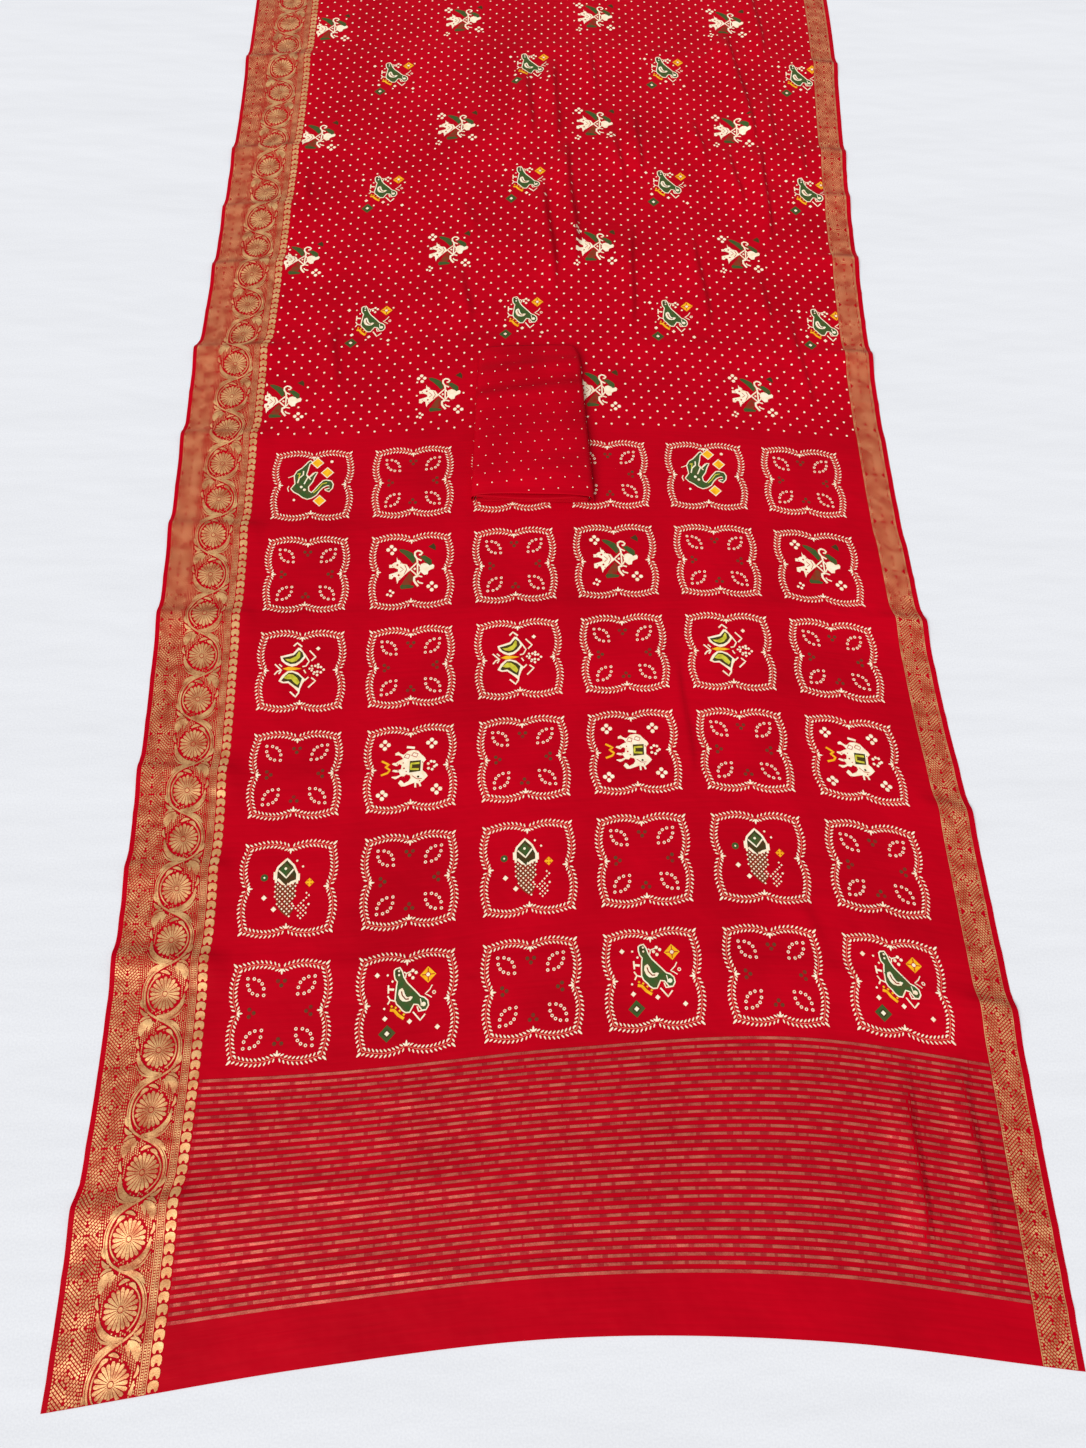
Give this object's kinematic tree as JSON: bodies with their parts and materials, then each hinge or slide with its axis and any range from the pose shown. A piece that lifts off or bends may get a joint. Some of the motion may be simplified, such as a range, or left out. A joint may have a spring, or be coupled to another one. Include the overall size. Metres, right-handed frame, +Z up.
{
  "type": "printed patola saree with folded blouse piece",
  "caption": "Red patola print saree laid out flat, with woven gold borders, a striped pallu with motif panels, a dotted body and its matching blouse piece folded on top.",
  "frame": {"origin": "middle of the ground that the laid-out saree covers, at the level of the surface it lies on", "axes": "+Z up, +Y along the cloth from the raw pallu end towards the inner end, +X across it from the wide border to the narrow one"},
  "size_m": [1.1626, 5.531, 0.0264],
  "materials": {
    "red_cloth": "plain-woven red art-silk crepe, softly sheened, printed",
    "blouse_cloth": "plain-woven red art-silk crepe with small printed dots",
    "gold_zari": "coppery gold brocaded zari, low sheen",
    "cream_print": "matte cream print",
    "green_print": "matte leaf green print",
    "yellow_print": "matte marigold yellow print"
  },
  "bodies": {
    "root": {"saree_cloth": "red_cloth", "blouse_piece": "blouse_cloth"}
  },
  "joints": []
}
